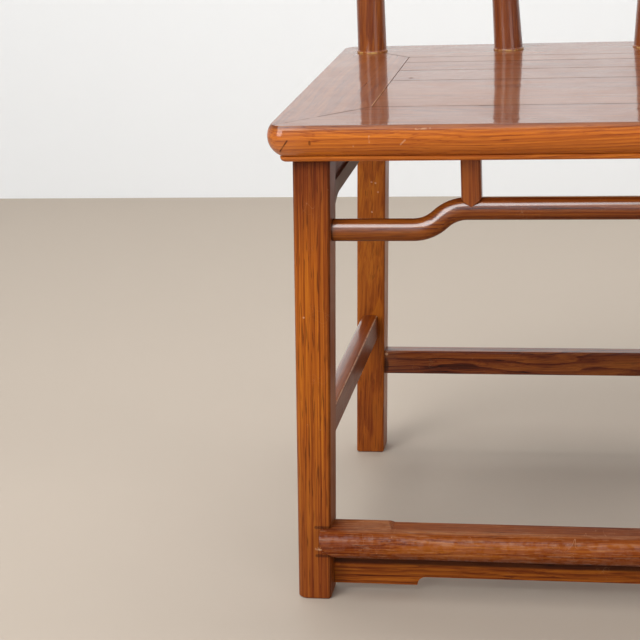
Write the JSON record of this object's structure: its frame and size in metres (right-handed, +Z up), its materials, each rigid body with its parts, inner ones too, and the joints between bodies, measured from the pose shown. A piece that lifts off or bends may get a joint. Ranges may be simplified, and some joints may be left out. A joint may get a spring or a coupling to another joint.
{
  "type": "official hat chair",
  "caption": "Armless yoke-back chair of lacquered hardwood with a framed panel seat, a humpback stretcher and a foot rail.",
  "frame": {"origin": "middle of the whole chair's bounding box, on the floor", "axes": "+Z up, the sitter looks along -Y, +X to the right of someone who faces the chair's front"},
  "size_m": [0.562, 0.5486, 1.119],
  "materials": {
    "seat_lacquer": "clear gloss lacquer over red-brown hardwood",
    "leg_lacquer": "clear semi-gloss lacquer over red-brown hardwood",
    "stretcher_lacquer": "clear semi-gloss lacquer over dark brown hardwood",
    "raw_wood": "unfinished"
  },
  "bodies": {
    "root": {"front_rail": "seat_lacquer", "rear_rail": "seat_lacquer", "side_rail_left": "seat_lacquer", "side_rail_right": "seat_lacquer", "panel_board_front": "seat_lacquer", "panel_board_second": "seat_lacquer", "panel_board_third": "seat_lacquer", "panel_board_rear": "seat_lacquer", "batten_left": "raw_wood", "batten_right": "raw_wood", "front_leg_left": "leg_lacquer", "front_leg_right": "leg_lacquer", "rear_leg_left": "leg_lacquer", "rear_leg_right": "leg_lacquer", "inner_post_left": "leg_lacquer", "inner_post_right": "leg_lacquer", "crest_rail": "leg_lacquer", "crest_pegs": "leg_lacquer", "humpback_stretcher": "stretcher_lacquer", "strut_left": "stretcher_lacquer", "strut_right": "stretcher_lacquer", "side_apron_left": "stretcher_lacquer", "side_apron_right": "stretcher_lacquer", "rear_apron": "stretcher_lacquer", "side_stretcher_left": "stretcher_lacquer", "side_stretcher_right": "stretcher_lacquer", "rear_stretcher": "stretcher_lacquer", "foot_rail": "stretcher_lacquer", "foot_apron": "stretcher_lacquer"}
  },
  "joints": []
}
